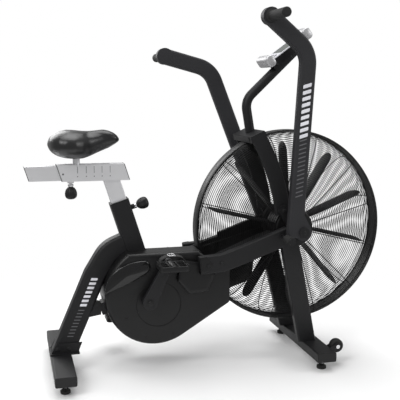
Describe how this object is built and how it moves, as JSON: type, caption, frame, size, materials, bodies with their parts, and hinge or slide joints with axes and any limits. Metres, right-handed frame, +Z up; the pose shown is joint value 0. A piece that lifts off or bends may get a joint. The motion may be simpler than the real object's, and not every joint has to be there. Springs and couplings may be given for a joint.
{
  "type": "air bike",
  "caption": "Upright exercise bike with a caged air fan, belt-driven cranks, two swinging hand levers and an adjustable saddle.",
  "frame": {"origin": "on the floor under the middle of the overall length and width", "axes": "+X the rider's forward, +Y the rider's left, +Z up"},
  "size_m": [1.31, 0.63, 1.2687],
  "materials": {
    "frame_paint": "fine textured black powder coat",
    "cage_paint": "smooth black powder coat on wire",
    "shroud_plastic": "satin moulded black",
    "black_plastic": "fine grain moulded black",
    "fan_paint": "satin black",
    "silver": "bright satin plated tube",
    "bright_steel": "polished",
    "bearing_steel": "ground",
    "alloy": "machined",
    "rubber_black": "soft matt",
    "saddle_vinyl": "semi-gloss black vinyl",
    "strap_web": "woven nylon",
    "wheel_rubber": "hard rubber",
    "console_silver": "silver grey moulding",
    "console_black": "black moulding",
    "screen": "display window",
    "board": "circuit board",
    "key_grey": "soft key"
  },
  "bodies": {
    "frame": {"floor_beams": "frame_paint", "beam_caps": "black_plastic", "levelling_feet": "rubber_black", "rear_leg": "frame_paint", "seat_tube": "frame_paint", "seat_tube_liner": "black_plastic", "spine_frame": "frame_paint", "fork_arms": "frame_paint", "foot_peg_sleeves": "rubber_black", "front_legs": "frame_paint", "fan_axle": "bearing_steel", "lever_bushes": "alloy", "pivot_caps": "frame_paint", "cage_right": "cage_paint", "cage_left": "cage_paint", "cage_band": "cage_paint", "crank_bearings": "bearing_steel", "drive_belt": "rubber_black", "shroud_right": "shroud_plastic", "shroud_left": "shroud_plastic", "shroud_disc": "shroud_plastic", "belt_cover": "shroud_plastic", "mast_uprights": "frame_paint", "mast_tube": "frame_paint", "console_case": "console_black", "console_face": "console_black", "console_screen": "screen", "console_board": "board", "console_bumpers": "console_silver", "wheel_axles": "bright_steel", "wheel_brackets": "frame_paint"},
    "crank": {"crank_axle": "bearing_steel", "drive_pulley": "alloy", "cranks": "frame_paint", "crank_nuts": "bright_steel", "pedal_spindles": "bearing_steel"},
    "right_pedal": {"right_pedal": "black_plastic", "right_toe_strap": "strap_web"},
    "left_pedal": {"left_pedal": "black_plastic", "left_toe_strap": "strap_web"},
    "fan": {"fan_hub": "fan_paint", "fan_blades": "fan_paint", "fan_bearings": "bearing_steel", "fan_pulley": "alloy"},
    "right_lever": {"right_lever": "frame_paint", "right_grip": "rubber_black"},
    "left_lever": {"left_lever": "frame_paint", "left_grip": "rubber_black"},
    "seat_post": {"seat_post": "silver", "rail_sleeve": "silver"},
    "saddle": {"saddle_rail": "silver", "saddle_clamp": "bearing_steel", "saddle": "saddle_vinyl"},
    "post_pin": {"post_pin_knob": "black_plastic"},
    "rail_clamp": {"rail_clamp_knob": "black_plastic"},
    "right_wheel": {"right_wheel": "wheel_rubber"},
    "left_wheel": {"left_wheel": "wheel_rubber"},
    "key_1": {"console_key_1": "key_grey"},
    "key_2": {"console_key_2": "key_grey"},
    "key_3": {"console_key_3": "key_grey"}
  },
  "joints": [
    {"name": "crank_spin", "type": "hinge", "parent": "frame", "child": "crank", "pos_m": [-0.245, 0, 0.265], "axis": [0, 1, 0], "continuous": true},
    {"name": "fan_spin", "type": "hinge", "parent": "frame", "child": "fan", "pos_m": [0.3, 0, 0.494], "axis": [0, 1, 0], "continuous": true},
    {"name": "right_pedal_spin", "type": "hinge", "parent": "crank", "child": "right_pedal", "pos_m": [-0.17793, -0.19, 0.40252], "axis": [0, 1, 0], "continuous": true},
    {"name": "left_pedal_spin", "type": "hinge", "parent": "crank", "child": "left_pedal", "pos_m": [-0.31207, 0.19, 0.12748], "axis": [0, 1, 0], "continuous": true},
    {"name": "right_lever_swing", "type": "hinge", "parent": "frame", "child": "right_lever", "pos_m": [0.3, -0.16, 0.494], "axis": [0, 1, 0], "range_deg": [-23, 2]},
    {"name": "left_lever_swing", "type": "hinge", "parent": "frame", "child": "left_lever", "pos_m": [0.3, 0.16, 0.494], "axis": [0, 1, 0], "range_deg": [-2, 23]},
    {"name": "seat_post_slide", "type": "slide", "parent": "frame", "child": "seat_post", "axis": [-0.3007, 0, 0.9537], "range_m": [-0.05, 0.11]},
    {"name": "saddle_slide", "type": "slide", "parent": "seat_post", "child": "saddle", "axis": [1, 0, 0], "range_m": [-0.02, 0.1]},
    {"name": "post_pin_pull", "type": "slide", "parent": "frame", "child": "post_pin", "axis": [0.9537, 0, 0.3007], "range_m": [0, 0.012], "stiffness_N_per_m": 900, "springref_m": -0.004},
    {"name": "rail_clamp_turn", "type": "hinge", "parent": "seat_post", "child": "rail_clamp", "pos_m": [-0.497, 0, 0.65], "axis": [0, 0, 1], "range_deg": [-180, 180]},
    {"name": "right_wheel_spin", "type": "hinge", "parent": "frame", "child": "right_wheel", "pos_m": [0.43, -0.182, 0.072], "axis": [0, 1, 0], "continuous": true},
    {"name": "left_wheel_spin", "type": "hinge", "parent": "frame", "child": "left_wheel", "pos_m": [0.43, 0.182, 0.072], "axis": [0, 1, 0], "continuous": true},
    {"name": "key_1_press", "type": "slide", "parent": "frame", "child": "key_1", "axis": [0.5878, 0, -0.809], "range_m": [0, 0.001], "stiffness_N_per_m": 600, "springref_m": -0.0005},
    {"name": "key_2_press", "type": "slide", "parent": "frame", "child": "key_2", "axis": [0.5878, 0, -0.809], "range_m": [0, 0.001], "stiffness_N_per_m": 600, "springref_m": -0.0005},
    {"name": "key_3_press", "type": "slide", "parent": "frame", "child": "key_3", "axis": [0.5878, 0, -0.809], "range_m": [0, 0.001], "stiffness_N_per_m": 600, "springref_m": -0.0005}
  ],
  "couplings": [
    {"joint": "fan_spin", "follows": "crank_spin", "ratio": 4},
    {"joint": "left_lever_swing", "follows": "right_lever_swing", "ratio": -1}
  ]
}
